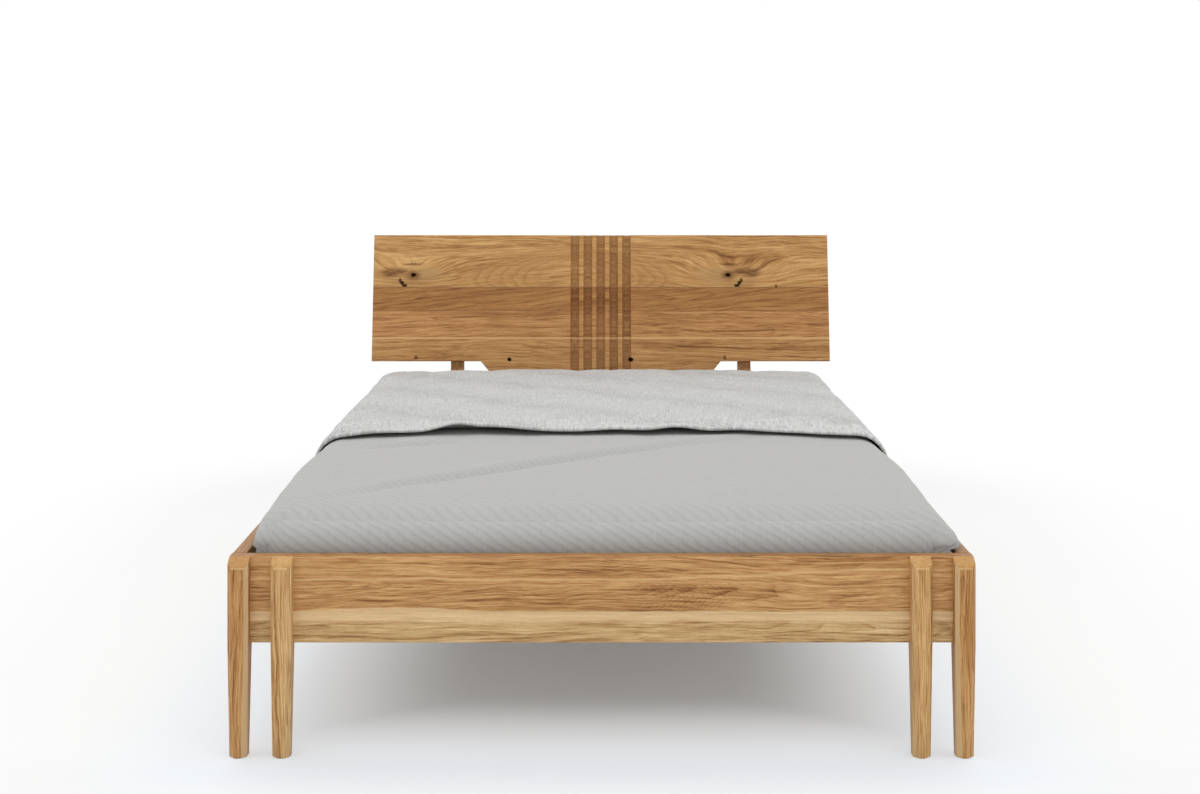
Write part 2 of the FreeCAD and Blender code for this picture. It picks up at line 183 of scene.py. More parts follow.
# Oak grain cut from a log. Place is in metres: x along the grain, y across the face, z out of it.
grain, given, made = group("oak_grain", [
    ("Place", "Vector", None), ("Board", "Float", 1.0), ("Heart", "Float", 0.0),
    ("Pith", "Float", 0.05), ("Tilt", "Float", 0.05), ("Ring", "Float", 0.005),
    ("Swell", "Float", 0.0), ("Tint", "Color", (0.45, 0.23, 0.09, 1.0)), ("Figure", "Float", 1.0),
], [("Color", "Color"), ("Roughness", "Float"), ("Height", "Float")])
bent = shift(grain, "ADD", given["Place"], add(grain, "CombineXYZ", {"Y": given["Swell"]}).outputs[0])
moved = add(grain, "VectorMath", {0: (3.17, 1.31, 2.13), "Scale": given["Board"]},
    operation="SCALE").outputs[0]
spot = shift(grain, "ADD", bent, moved)
wander = shake(grain, spot, (1.3, 4.0, 4.0), (0.0, 0.075, 0.05))
kinks = shake(grain, spot, (9, 22, 22), (0.0, 0.010, 0.006))
place = split(grain, shift(grain, "ADD", shift(grain, "ADD", bent, wander), kinks))
across = minus(grain, place[1], given["Heart"])
deep = reckon(grain, "ADD", given["Pith"], scaled(grain, place[0], given["Tilt"], place[2]))
radius = reckon(grain, "SQRT", scaled(grain, across, across, times(grain, deep, deep)))
turns = reckon(grain, "DIVIDE", radius, given["Ring"])
years = add(grain, "TexNoise", {"W": times(grain, turns, 0.35), "Scale": 1.0, "Detail": 2.0},
    noise_dimensions="1D").outputs["Fac"]
late = saw(grain, scaled(grain, years, 2.6, turns), 3.0)
shown = between(grain, cloudy(grain, spot, (1.1, 16.0, 16.0)), 0.38, 0.62, 0.1, 1.0)
line = times(grain, times(grain, late, shown), given["Figure"])
broad = between(grain, years, 0.3, 0.7, -0.5, 0.5)
waved = shift(grain, "ADD", shift(grain, "ADD", spot, wander), kinks)
fibre = cloudy(grain, waved, (16, 620, 620), 3.0, 0.62)
hatch = cloudy(grain, waved, (8, 300, 300), 3.0, 0.65)
streak = cloudy(grain, waved, (2.4, 105.0, 105.0), 3.0, 0.6)
mottle = cloudy(grain, spot, (2.6, 11.0, 11.0), 2.0)
long = between(grain, cloudy(grain, waved, (1.3, 120.0, 120.0), 1.0), 0.60, 0.74)
pores = between(grain, cloudy(grain, spot, (75, 2300, 2300), 1.0), 0.60, 0.70)
pores = times(grain, pores, between(grain, late, 0.0, 0.5, 1.0, 0.25))
tone = scaled(grain, minus(grain, fibre, 0.5), 0.85, 0.60)
for layer, strength in ((hatch, 1.75), (streak, 0.85), (mottle, 0.40)):
    tone = scaled(grain, minus(grain, layer, 0.5), strength, tone)
tone = scaled(grain, broad, 0.12, tone)
tone = scaled(grain, long, -0.22, tone)
tone = scaled(grain, line, -0.27, tone)
shade = ramp(grain, tone, [(0.05, (0.36, 0.26, 0.17)), (0.32, (0.73, 0.64, 0.51)),
    (0.58, (1.00, 1.00, 1.00)), (0.82, (1.20, 1.30, 1.42)), (1.0, (1.34, 1.54, 1.85))])
colour = paint(grain, "MULTIPLY", 1.0, given["Tint"], shade)
colour = paint(grain, "MULTIPLY", times(grain, pores, 0.55), colour, (0.45, 0.36, 0.28))
grain.links.new(colour, made["Color"])
grain.links.new(scaled(grain, pores, 0.2, scaled(grain, fibre, 0.16, 0.34)), made["Roughness"])
height = scaled(grain, pores, -1.0, times(grain, fibre, 0.35))
grain.links.new(scaled(grain, line, -0.3, height), made["Height"])


def board_place(tree, along, across, origin):
    """Object coordinates turned so that x runs along the grain, y across the face and z out."""
    along, across = np.array(along, float), np.array(across, float)
    turn = Matrix([along, across, np.cross(along, across)])
    start = turn @ Vector(origin)
    return add(tree, "Mapping", {"Vector": add(tree, "TexCoord").outputs["Object"],
        "Rotation": turn.to_euler(), "Location": -start}).outputs[0]


def finish(material, colour, roughness, height, strength, depth):
    """Joins a colour, a roughness and a height to the material's own shader."""
    tree = material.node_tree
    body = tree.nodes["Principled BSDF"]
    bump = add(tree, "Bump", {"Height": height, "Strength": strength, "Distance": depth}).outputs[0]
    for value, socket in ((colour, "Base Color"), (roughness, "Roughness"), (bump, "Normal")):
        tree.links.new(value, body.inputs[socket])
    return body


def finish_wood(material, wood, colour=None, height=None, gloss=0.28, depth=0.0004, holes=None):
    """Puts a wood's grain on its shader, with its own colour and height or those given, and oil on it.

    holes is a mask that is 1 in open knots, which hold no oil and don't shine."""
    body = finish(material, colour or wood.outputs["Color"], wood.outputs["Roughness"],
        height or wood.outputs["Height"], 0.5, depth)
    body.inputs["Specular IOR Level"].default_value = gloss
    if holes:
        tree = material.node_tree
        tree.links.new(between(tree, holes, 0.0, 0.5, gloss, 0.0), body.inputs["Specular IOR Level"])


def material_of(name):
    """A new material with a plain Principled shader."""
    material = bpy.data.materials.new(name)
    material.use_nodes = True
    return material


def dress(node, material):
    """Gives a CAD piece its material."""
    for slot in nodes[node].material_slots:
        slot.material = material


def oak_board(name, along, across, origin, width, joints, tints, board, ring=0.0048, figure=1.0):
    """Oak glued from staves: joints are the heights of the glue lines and tints their colours."""
    material = material_of(name)
    tree = material.node_tree
    place = board_place(tree, along, across, origin)
    height = split(tree, place)[1]
    tint = ramp(tree, reckon(tree, "DIVIDE", height, width), [(0.0, tints[0])]
        + [(j / width, t) for j, t in zip(joints, tints[1:])], "CONSTANT")
    number = reckon(tree, "ADD", board, 0.0)
    heart = reckon(tree, "ADD", joints[0] * 0.45 if joints else width * 0.4, 0.0)
    edges = list(joints) + [width]
    line = None
    for i, joint in enumerate(joints):
        above = reckon(tree, "GREATER_THAN", height, joint)
        number = scaled(tree, above, 1.37, number)
        step = (edges[i + 1] - (joints[i - 1] if i else 0.0)) * 0.5
        heart = scaled(tree, above, step, heart)
        near = between(tree, apart(tree, height, joint), 0.0004, 0.0012, 1, 0)
        line = near if line is None else reckon(tree, "MAXIMUM", line, near)
    oak = add(tree, "Group", {"Place": place, "Board": number, "Heart": heart, "Tint": tint, "Ring": ring,
        "Figure": figure}, node_tree=grain)
    colour = oak.outputs["Color"]
    if line is not None:
        colour = paint(tree, "MULTIPLY", times(tree, line, 0.5), colour, (0.45, 0.36, 0.27))
    finish_wood(material, oak, colour)
    return material


rail_low, rail_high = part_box("foot_rail")
rail_width = rail_high.z - rail_low.z
bed_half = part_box("side_rail_right")[1].x
foot_oak = oak_board("foot_rail_oak", (1, 0, 0), (0, 0, 1), (0, rail_low.y, rail_low.z), rail_width,
    (0.063,), (seen(197, 160, 109), seen(194, 146, 92)), 2.0, 0.0036, 1.5)
tree = foot_oak.node_tree
body = tree.nodes["Principled BSDF"]
colour = body.inputs["Base Color"].links[0].from_socket
place = board_place(tree, (1, 0, 0), (0, 0, 1), (0, rail_low.y, rail_low.z))
x, height, _ = split(tree, place)
drift = minus(tree, cloudy(tree, place, (7, 0, 0), 3.0), 0.5)
sapwood = scaled(tree, between(tree, x, 0.05, 0.62), 0.020, scaled(tree, drift, 0.016, 0.1275))
off_line = apart(tree, height, sapwood)
colour = paint(tree, "MIX", times(tree, between(tree, off_line, 0.001, 0.0042, 1, 0), 0.62), colour,
    seen(222, 182, 128))
rise = reckon(tree, "DIVIDE", reckon(tree, "ADD", x, 0.42), 0.14)
rise = reckon(tree, "EXPONENT", times(tree, times(tree, rise, rise), -1.0))
upper_edge = scaled(tree, rise, 0.008, scaled(tree, drift, 0.010, 0.0635))
band = times(tree, between(tree, minus(tree, upper_edge, height), -0.0008, 0.0012),
    between(tree, scaled(tree, drift, 0.008, height), 0.040, 0.048))
colour = paint(tree, "MIX", times(tree, band, 0.62), colour, seen(233, 201, 153))
jag = cloudy(tree, place, (55, 120, 120), 3.0)
arrow = scaled(tree, apart(tree, height, 0.093), 1.25, x)
arrow = scaled(tree, jag, 0.024, arrow)
teeth = saw(tree, reckon(tree, "DIVIDE", arrow, 0.0125), 2.0)
area = times(tree, between(tree, height, 0.064, 0.072), between(tree, height, 0.112, 0.126, 1, 0))
area = times(tree, area, times(tree, between(tree, arrow, 0.08, 0.14),
    between(tree, arrow, 0.24, 0.36, 1, 0)))
colour = paint(tree, "MULTIPLY", times(tree, area, scaled(tree, teeth, 0.72, 0.04)), colour,
    (0.64, 0.54, 0.43))
patch = far_from(tree, place, (0.475, 0.079, 0.0), (0.021, 0.014, 1.0))
patch = scaled(tree, drift, 0.8, patch)
colour = paint(tree, "MULTIPLY", times(tree, between(tree, patch, 0.5, 1.15, 1, 0), 0.55), colour,
    (0.70, 0.55, 0.50))
# The rail's upward faces are darkened: painted shade from the quilt that bulges over the rail top.
upright = split(tree, add(tree, "NewGeometry").outputs["Normal"])[2]
colour = paint(tree, "MULTIPLY", between(tree, upright, 0.3, 0.8), colour, (0.66, 0.62, 0.58))
tree.links.new(colour, body.inputs["Base Color"])
dress("foot_rail", foot_oak)
dress("head_rail", oak_board("head_rail_oak", (-1, 0, 0), (0, 0, 1),
    (0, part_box("head_rail")[1].y, rail_low.z), rail_width, (0.052, 0.118),
    (seen(186, 142, 94), seen(178, 130, 82), seen(184, 138, 90)), 9.0))
# The side rails' tints are darker than the end rails': painted shade from the quilt hanging over them.
for side, board in (("left", 15.0), ("right", 22.0)):
    facing = -1 if side == "left" else 1
    dress("side_rail_" + side, oak_board("side_rail_%s_oak" % side, (0, facing, 0), (0, 0, 1),
        (facing * bed_half, 0, rail_low.z), rail_width, (0.047, 0.112),
        (seen(160, 116, 62), seen(164, 120, 68), seen(156, 110, 56)), board))


# The eight legs stand in pairs outside the end rails. Each is one piece of oak with the grain
# upright, tapered below the rail, bevelled down its corners and sloped off at the top.
leg_tones = {
    "foot_leg_outer_left": (seen(186, 136, 82), 31.3), "foot_leg_inner_left": (seen(204, 162, 108), 34.1),
    "foot_leg_inner_right": (seen(197, 153, 98), 37.7), "foot_leg_outer_right": (seen(189, 140, 84), 40.9),
    "head_leg_outer_left": (seen(182, 136, 88), 43.3), "head_leg_inner_left": (seen(186, 142, 94), 46.9),
    "head_leg_inner_right": (seen(180, 133, 86), 49.1), "head_leg_outer_right": (seen(186, 144, 98), 52.7),
}
for name, (tint, board) in leg_tones.items():
    low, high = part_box(name)
    front = -1 if name.startswith("foot") else 1
    middle = (low.x + high.x) / 2
    wood = material_of(name + "_oak")
    tree = wood.node_tree
    place = board_place(tree, (0, 0, 1), (-front, 0, 0), (middle, low.y if front < 0 else high.y, 0.1))
    oak = add(tree, "Group", {"Place": place, "Board": board, "Tint": tint, "Ring": 0.0042, "Pith": 0.012,
        "Tilt": 0.055, "Figure": 1.1}, node_tree=grain)
    # The bevel on each leg that faces away from the bed's end and towards its middle is painted paler,
    # strongly on the outer legs and a little on the inner ones: a painted highlight.
    inward = -1 if middle > 0 else 1
    facing = add(tree, "VectorMath", {0: add(tree, "NewGeometry").outputs["Normal"],
        1: (inward * 0.7071, front * 0.7071, 0.0)}, operation="DOT_PRODUCT").outputs["Value"]
    corner = times(tree, between(tree, facing, 0.90, 0.97), 0.70 if "outer" in name else 0.18)
    colour = paint(tree, "MIX", corner, oak.outputs["Color"], seen(214, 186, 142))
    upright = split(tree, add(tree, "NewGeometry").outputs["Normal"])[2]
    # Faces that slope upwards are painted a deeper golden colour to cancel the pale reflection of the room
    # on them: painted shade set by which way the face points.
    colour = paint(tree, "MIX", between(tree, upright, 0.25, 0.55, 0.0, 0.6), colour, seen(182, 138, 78))
    # A pale band on faces that tilt a little upwards, where the top rounds into the front and sides, is a
    # painted highlight.
    rim = times(tree, between(tree, upright, 0.08, 0.3), between(tree, upright, 0.42, 0.58, 1, 0))
    colour = paint(tree, "MIX", times(tree, rim, 0.45), colour, seen(226, 194, 142))
    finish_wood(wood, oak, colour)
    dress(name, wood)


# The headboard: one wide panel glued from four oak staves, leaning back, with five upright
# flutes cut in its middle and a slanted tab under it. It is screwed to two square oak posts,
# and two sound knots and some pin knots show in its staves.
knot, given, made = group("knot_in_grain", [
    ("Place", "Vector", None), ("Centre", "Vector", (0, 0, 0)), ("Size", "Vector", (0.02, 0.01, 1.0)),
], [("Swell", "Float"), ("Eye", "Float"), ("Smoke", "Float")])
rough = shake(knot, given["Place"], (60, 60, 60), (0.010, 0.008, 0.0))
far = far_from(knot, given["Place"], given["Centre"], given["Size"])
knot.links.new(reckon(knot, "EXPONENT", times(knot, times(knot, far, far), -0.16)), made["Swell"])
ragged = far_from(knot, shift(knot, "ADD", given["Place"], rough), given["Centre"], given["Size"])
knot.links.new(between(knot, ragged, 0.55, 1.1, 1, 0), made["Eye"])
wisps = cloudy(knot, given["Place"], (45, 240, 240), 4.0, 0.7)
knot.links.new(times(knot, between(knot, ragged, 0.4, 1.8, 1, 0),
    between(knot, wisps, 0.32, 0.56, 0.45, 1.0)), made["Smoke"])


def knot_at(tree, place, centre, size):
    """The swell, eye and smoke of a knot with that centre and size."""
    return add(tree, "Group", {"Place": place, "Centre": (*centre, 0.0), "Size": (*size, 1.0)},
        node_tree=knot).outputs


lean = math.radians(9.4)
up_panel = (0, math.sin(lean), math.cos(lean))
panel_foot = (0, 1.01238, 0.516)
panel_joints = (0.0708, 0.165, 0.2405)
panel = material_of("headboard_oak")
tree = panel.node_tree
place = board_place(tree, (1, 0, 0), up_panel, panel_foot)
height = split(tree, place)[1]
tab_drop, panel_height = 0.09, 0.51
raised = reckon(tree, "DIVIDE", reckon(tree, "ADD", height, tab_drop), panel_height)
tint = ramp(tree, raised, [(0.0, seen(176, 130, 78))] + [((joint + tab_drop) / panel_height, tone)
    for joint, tone in zip(panel_joints, (seen(176, 126, 75), seen(159, 110, 59), seen(186, 140, 85)))],
    "CONSTANT")
board, heart = 61.0, -0.03
for joint, step, change in zip(panel_joints, (0.13, 0.09, 0.085), (1.3, 2.9, 1.7)):
    above = reckon(tree, "GREATER_THAN", height, joint)
    board = scaled(tree, above, change, board)
    heart = scaled(tree, above, step, heart)
top_stave = reckon(tree, "GREATER_THAN", height, panel_joints[2])
across_panel, _, depth_in = split(tree, place)
# The top stave is book-matched: the same knots and arcs lie left and right of a line.
match_line = 0.099
folded = minus(tree, times(tree, reckon(tree, "ABSOLUTE", reckon(tree, "ADD", across_panel, match_line)),
    -1.0), match_line)
matched = add(tree, "CombineXYZ", {0: folded, 1: height, 2: depth_in}).outputs[0]
swell, eyes, smoke, halo = 0.0, 0.0, 0.0, 0.0
for centre, size, spread_size, push, dark in (
        ((-0.618, 0.282), (0.0110, 0.0068), (0.070, 0.022), 0.050, 1.0),
        ((-0.661, 0.2635), (0.0065, 0.0080), (0.045, 0.015), -0.010, 0.85),
        ((-0.655, 0.2560), (0.0080, 0.0080), (0.045, 0.015), -0.006, 0.95),
        ((-0.647, 0.2475), (0.0110, 0.0060), (0.045, 0.015), 0.0, 0.95),
        ((-0.694, 0.290), (0.0260, 0.0130), (0.060, 0.020), 0.020, 0.0),
        ((-0.662, 0.293), (0.0200, 0.0080), (0.040, 0.015), 0.0, 0.0),
        ((-0.622, 0.318), (0.0300, 0.0035), (0.040, 0.015), 0.0, 0.0),
        ((-0.618, 0.280), (0.0200, 0.0120), (0.040, 0.015), 0.0, 0.0)):
    eye = knot_at(tree, matched, centre, size)
    spread = knot_at(tree, matched, centre, spread_size)
    if push:
        swell = scaled(tree, spread["Swell"], push, swell)
    if dark:
        eyes = reckon(tree, "MAXIMUM", eyes, times(tree, eye["Eye"], dark))
        halo = reckon(tree, "MAXIMUM", halo, spread["Swell"])
    else:
        smoke = reckon(tree, "MAXIMUM", smoke, eye["Smoke"])
second = minus(tree, reckon(tree, "GREATER_THAN", height, panel_joints[1]), top_stave)
sloping = times(tree, times(tree, across_panel, -0.09), second)
swell = scaled(tree, swell, top_stave, sloping)
halo = times(tree, halo, top_stave)
smoke = times(tree, smoke, top_stave)
eyes = times(tree, eyes, top_stave)
for centre, pin_size, dark in (((-0.298, 0.0055), 0.0085, 1.0), ((0.099, 0.0055), 0.0085, 1.0),
                               ((-0.604, 0.012), 0.0075, 0.6), ((0.406, 0.012), 0.0075, 0.6),
                               ((0.578, 0.246), 0.0065, 0.6)):
    pin = knot_at(tree, place, centre, (pin_size, pin_size))
    eyes = reckon(tree, "MAXIMUM", eyes, times(tree, pin["Eye"], dark))
oak = add(tree, "Group", {"Ring": 0.0065, "Pith": 0.03, "Tilt": 0.035, "Figure": 1.1, "Place": place,
    "Board": board, "Heart": heart, "Swell": swell, "Tint": tint}, node_tree=grain)
colour = oak.outputs["Color"]
# Cathedral arcs: rings cut at a slant show as nested curves that point away from the middle.
off_axis = minus(tree, height, 0.271)
ripple = minus(tree, cloudy(tree, place, (22, 40, 40), 3.0), 0.5)
arc = scaled(tree, times(tree, off_axis, off_axis), -27.0, scaled(tree, ripple, 0.045,
    reckon(tree, "ADD", folded, 0.449)))
where = times(tree, times(tree, between(tree, arc, -0.012, 0.03), between(tree, arc, 0.20, 0.30, 1, 0)),
    top_stave)
wide = saw(tree, reckon(tree, "DIVIDE", arc, 0.041), 2.5)
narrow = saw(tree, reckon(tree, "DIVIDE", arc, 0.0085), 2.0)
arcs = times(tree, where, scaled(tree, narrow, 0.26, times(tree, wide, 0.50)))
colour = paint(tree, "MIX", times(tree, where, 0.45), colour, seen(186, 139, 84))
colour = paint(tree, "MULTIPLY", arcs, colour, (0.62, 0.50, 0.36))
pale_side = far_from(tree, matched, (-0.565, 0.284, 0.0), (0.062, 0.030, 1.0))
pale_side = times(tree, between(tree, pale_side, 0.3, 1.2, 1, 0), top_stave)
colour = paint(tree, "MIX", times(tree, pale_side, 0.38), colour, seen(186, 152, 102))
colour = paint(tree, "MIX", times(tree, between(tree, halo, 0.55, 1.0), 0.30), colour, seen(140, 108, 66))
colour = paint(tree, "MULTIPLY", smoke, colour, (0.36, 0.25, 0.15))
# The colour is darker the deeper a point lies below the panel's face, in the flutes: painted shade.
colour = paint(tree, "MULTIPLY", between(tree, depth_in, -0.009, -0.0005, 1, 0), colour,
    (0.74, 0.69, 0.68))
for level, strength, shade in (
        (panel_joints[0] + 0.004, 0.75, seen(214, 172, 118)), (panel_joints[1], 0.5, seen(120, 84, 46)),
        (panel_joints[2], 0.6, seen(118, 82, 44)), (0.0455, 0.30, seen(124, 84, 44)),
        (0.104, 0.22, seen(202, 158, 104))):
    pale = strength > 0.7
    seam = between(tree, apart(tree, scaled(tree, ripple, 0.0 if level in panel_joints else 0.003, height),
        level), 0.0012, 0.0046 if pale else 0.0024, 1, 0)
    colour = paint(tree, "MIX", times(tree, seam, strength), colour, shade)
colour = paint(tree, "MIX", eyes, colour, seen(26, 16, 8))
deepened = scaled(tree, eyes, -1.0, oak.outputs["Height"])
finish_wood(panel, oak, colour, deepened, depth=0.0005, holes=eyes)
dress("headboard_panel", panel)
for side, board in (("left", 71.3), ("right", 75.9)):
    low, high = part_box("headboard_post_" + side)
    wood = material_of("headboard_post_%s_oak" % side)
    tree = wood.node_tree
    place = board_place(tree, (0, 0, 1), (1, 0, 0), ((low.x + high.x) / 2, low.y, 0.2))
    oak = add(tree, "Group", {"Place": place, "Board": board, "Tint": seen(170, 123, 75), "Ring": 0.0045,
        "Pith": 0.05, "Tilt": 0.02}, node_tree=grain)
    finish_wood(wood, oak)
    dress("headboard_post_" + side, wood)


# The slatted base: fourteen pine slats lie across two pine ledgers screwed inside the side rails
# and a pine beam down the middle, left raw from the planer.
slat_names = ["slat_%02d" % n for n in range(1, 15)]
pine_pieces = slat_names + ["slat_ledger_left", "slat_ledger_right", "centre_beam", "centre_leg"]
for number, name in enumerate(pine_pieces):
    low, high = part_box(name)
    size = high - low
    if name == "centre_leg":
        along, across = (0, 0, 1), (1, 0, 0)
    elif size.x > size.y:
        along, across = (1, 0, 0), (0, 1, 0)
    else:
        along, across = (0, 1, 0), (-1, 0, 0)
    wood = material_of(name + "_pine")
    tree = wood.node_tree
    place = board_place(tree, along, across, tuple((low + high) / 2))
    oak = add(tree, "Group", {"Place": place, "Board": 100.0 + 3.1 * number, "Tint": seen(214, 180, 132),
        "Ring": 0.0036, "Pith": 0.02, "Tilt": 0.03, "Figure": 0.8}, node_tree=grain)
    finish_wood(wood, oak, gloss=0.25)
    dress(name, wood)


# Fittings: brackets and beam hangers pressed from sheet steel with a fine black powder coat,
# and zinc plated screws, bolts and barrel nuts with turned heads.
def steel(name, colour, metallic, roughness, speckle, depth):
    """Coated or plated steel: fine speckle in colour and height, and rubbed patches in gloss."""
    material = material_of(name)
    tree = material.node_tree
    place = add(tree, "TexCoord").outputs["Object"]
    fine = cloudy(tree, place, (speckle, speckle, speckle), 3.0)
    patch = cloudy(tree, place, (40, 40, 40), 3.0)
    shade = ramp(tree, fine, [(0.3, tuple(0.75 * c for c in colour)),
        (0.7, tuple(1.2 * c for c in colour))])
    body = finish(material, shade, between(tree, patch, 0.35, 0.65, roughness - 0.1, roughness + 0.12),
        fine, 0.4, depth)
    body.inputs["Metallic"].default_value = metallic
    return material


coated = steel("coated_steel", (0.045, 0.045, 0.047), 0.0, 0.5, 1400.0, 0.0003)
zinc = steel("zinc_steel", (0.62, 0.62, 0.60), 1.0, 0.34, 500.0, 0.0001)
black_plastic = steel("black_plastic", (0.035, 0.035, 0.036), 0.0, 0.55, 900.0, 0.0002)
for name in nodes:
    if name.startswith(("corner_bracket", "beam_hanger")):
        dress(name, coated)
    elif "screws" in name or "bolts" in name or "nuts" in name or name.endswith("stud"):
        dress(name, zinc)
    elif name.endswith("adjuster"):
        dress(name, black_plastic)


# Two woven polyester straps are stapled to the slats so that they keep their distance and roll up.
strap = material_of("slat_webbing")
tree = strap.node_tree
place = add(tree, "TexCoord").outputs["Object"]
cross = add(tree, "TexWave", {"Vector": place, "Scale": 120.0, "Distortion": 0.4}, wave_type="BANDS",
    bands_direction="Y").outputs["Fac"]
ends = add(tree, "TexWave", {"Vector": place, "Scale": 90.0, "Distortion": 0.4}, wave_type="BANDS",
    bands_direction="X").outputs["Fac"]
woven = times(tree, cross, ends)
shade = ramp(tree, woven, [(0.0, seen(196, 190, 172)), (1.0, seen(228, 222, 206))])
finish(strap, shade, between(tree, woven, 0.0, 1.0, 0.9, 0.7), woven, 0.6, 0.0006)
for side in ("left", "right"):
    dress("slat_strap_" + side, strap)


# The mattress: foam in a knitted ticking, quilted on its panels, with a piped seam round the
# top and bottom edge. It lies loose on the slats and lifts off with the covers.
bend_share = 0.42


def over_block(s, t, half, foot, head, edges, low, top, full=0.0, drop=None):
    """Cloth coordinates to points on a soft block.

    Within the flat middle a point lies at (s, t, top). Past it the cloth turns down a quarter
    ellipse as wide and high as the edge, and then falls straight to the hem at height low.
    In a corner it turns about the corner of the flat middle. edges is (side, foot, head, skirt),
    and skirt is the cloth's length past the flat middle. Where full is 1 the side edge is a
    squarer, shallower curve, and the corner is squarer, most of all low down. drop is the height
    of the foot edge where it isn't its width."""
    side_edge, foot_edge, head_edge, skirt = edges
    a, b0, b1 = half - side_edge, foot + foot_edge, head - head_edge
    past_x = np.maximum(np.abs(s) - a, 0.0)
    past_y = np.maximum(b0 - t, 0.0) + np.maximum(t - b1, 0.0)
    q = np.maximum(past_x, past_y) / skirt
    turn = np.arctan2(past_y, past_x)
    end_edge = np.where(t < b0, foot_edge, head_edge)
    bend = np.clip(q / bend_share, 0.0, 1.0) * np.pi / 2
    out = np.sin(bend)
    square = 1 - 0.28 * full * np.cos(turn) ** 2
    boxy = np.maximum(np.cos(turn), np.sin(turn)) ** (-full * (0.45 + 0.38
        * np.clip((q - 0.25) / 0.25, 0, 1)))
    x = np.sign(s) * (np.minimum(np.abs(s), a) + side_edge * out ** square * np.cos(turn) * boxy * (q > 0))
    y = np.clip(t, b0, b1) + (np.where(t < b0, -1.0, 1.0) * end_edge * out * np.sin(turn) * boxy
        * (past_y > 0))
    end_drop = np.where(t < b0, drop or foot_edge, head_edge)
    tall = side_edge * (1 - 0.40 * full) * np.cos(turn) ** 2 + end_drop * np.sin(turn) ** 2
    peak = top(x, y)
    fall = np.clip((q - bend_share) / (1 - bend_share), 0.0, 1.0)
    shoulder = peak - tall
    z = np.where(q < bend_share, peak - tall * (1 - np.maximum(np.cos(bend), 0) ** square), shoulder
        + (low - shoulder) * fall)
    return np.stack([x, y, z], -1), q, turn


def cloth_grid(half, foot, head, edges, flat_step, skirt_step):
    """Cloth coordinates on a grid that is finer over the turned down skirts."""
    side_edge, foot_edge, head_edge, skirt = edges
    a, b0, b1 = half - side_edge, foot + foot_edge, head - head_edge
    turns = int(round(skirt / skirt_step))
    skirt_part = np.linspace(0, skirt, turns + 1)[1:]
    flat_s = np.linspace(-a, a, int(round(2 * a / flat_step)) + 1)
    flat_t = np.linspace(b0, b1, int(round((b1 - b0) / flat_step)) + 1)
    s = np.concatenate([-a - skirt_part[::-1], flat_s, a + skirt_part])
    t = np.concatenate([b0 - skirt_part[::-1], flat_t, b1 + skirt_part])
    return np.meshgrid(s, t)


def outward(points):
    """Unit normals of a grid of points: the slope along one way crossed with that along the other."""
    normal = np.cross(np.gradient(points, axis=1), np.gradient(points, axis=0))
    return normal / np.maximum(np.linalg.norm(normal, axis=-1, keepdims=True), 1e-9)


def uneven(x, y, seed, longest, waves=8):
    """Sine waves in random directions added up, each shorter and lower than the one before."""
    dice = np.random.default_rng(seed)
    turn, start = dice.uniform(0, np.pi, waves), dice.uniform(0, 2 * np.pi, waves)
    length = longest / 1.35 ** np.arange(waves)
    total = np.zeros_like(x)
    for k in range(waves):
        total += np.sin(2 * np.pi * (x * np.cos(turn[k]) + y * np.sin(turn[k])) / length[k]
            + start[k]) / 1.25 ** k
    return total / 3.0


def put_in_scene(name, data):
    """A new object made of the data."""
    piece = bpy.data.objects.new(name, data)
    bpy.context.scene.collection.objects.link(piece)
    return piece


def closed_cloth(name, upper, under, cloth, rounds=5):
    """A closed mesh of two grids of points, joined round their borders by a half-round rim.

    A rim point is the middle of the two border points plus their half distance turned through
    an angle, upwards times the cosine and outwards times the sine."""
    rows, columns = upper.shape[:2]
    count = rows * columns
    index = np.arange(count).reshape(rows, columns)
    border = np.concatenate([index[0, :], index[1:, -1], index[-1, -2::-1], index[-2:0:-1, 0]])
    inner = index[1:-1, 1:-1]
    neighbour = np.concatenate([np.r_[inner[0, 0], inner[0, :], inner[0, -1]],
        np.r_[inner[:, -1], inner[-1, -1]], np.r_[inner[-1, ::-1], inner[-1, 0]], inner[::-1, 0]])
    top, low = upper.reshape(-1, 3), under.reshape(-1, 3)
    out = top[border] + low[border] - top[neighbour] - low[neighbour]
    out /= np.maximum(np.linalg.norm(out, axis=-1, keepdims=True), 1e-9)
    half = (top[border] - low[border]) / 2
    out -= half * (out * half).sum(-1, keepdims=True) / np.maximum((half ** 2).sum(-1, keepdims=True),
        1e-12)
    reach = np.linalg.norm(half, axis=-1, keepdims=True)
    middle = (top[border] + low[border]) / 2
    angles = np.linspace(0, np.pi, rounds + 1)[1:-1]
    rims = [middle + half * np.cos(k) + out * reach * np.sin(k) for k in angles]
    points = np.concatenate([top, low] + rims)
    quads = np.stack([index[:-1, :-1], index[:-1, 1:], index[1:, 1:], index[1:, :-1]], -1).reshape(-1, 4)
    faces = [quads, quads[:, ::-1] + count]
    loops = [border] + [2 * count + len(border) * k + np.arange(len(border)) for k in range(len(rims))]
    loops.append(border + count)
    for first, second in zip(loops[:-1], loops[1:]):
        faces.append(np.stack([first, second, np.roll(second, -1), np.roll(first, -1)], -1))
    mesh = bpy.data.meshes.new(name)
    mesh.from_pydata(points.tolist(), [], np.concatenate(faces).tolist())
    flat = cloth.reshape(-1, 3)
    flat = np.concatenate([flat, flat] + [flat[border]] * len(rims)).astype(np.float32)
    mesh.attributes.new("cloth", "FLOAT_VECTOR", "POINT").data.foreach_set("vector", flat.ravel())
    work = bmesh.new()
    work.from_mesh(mesh)
    bmesh.ops.recalc_face_normals(work, faces=work.faces)
    work.to_mesh(mesh)
    work.free()
    mesh.shade_smooth()
    return put_in_scene(name, mesh)


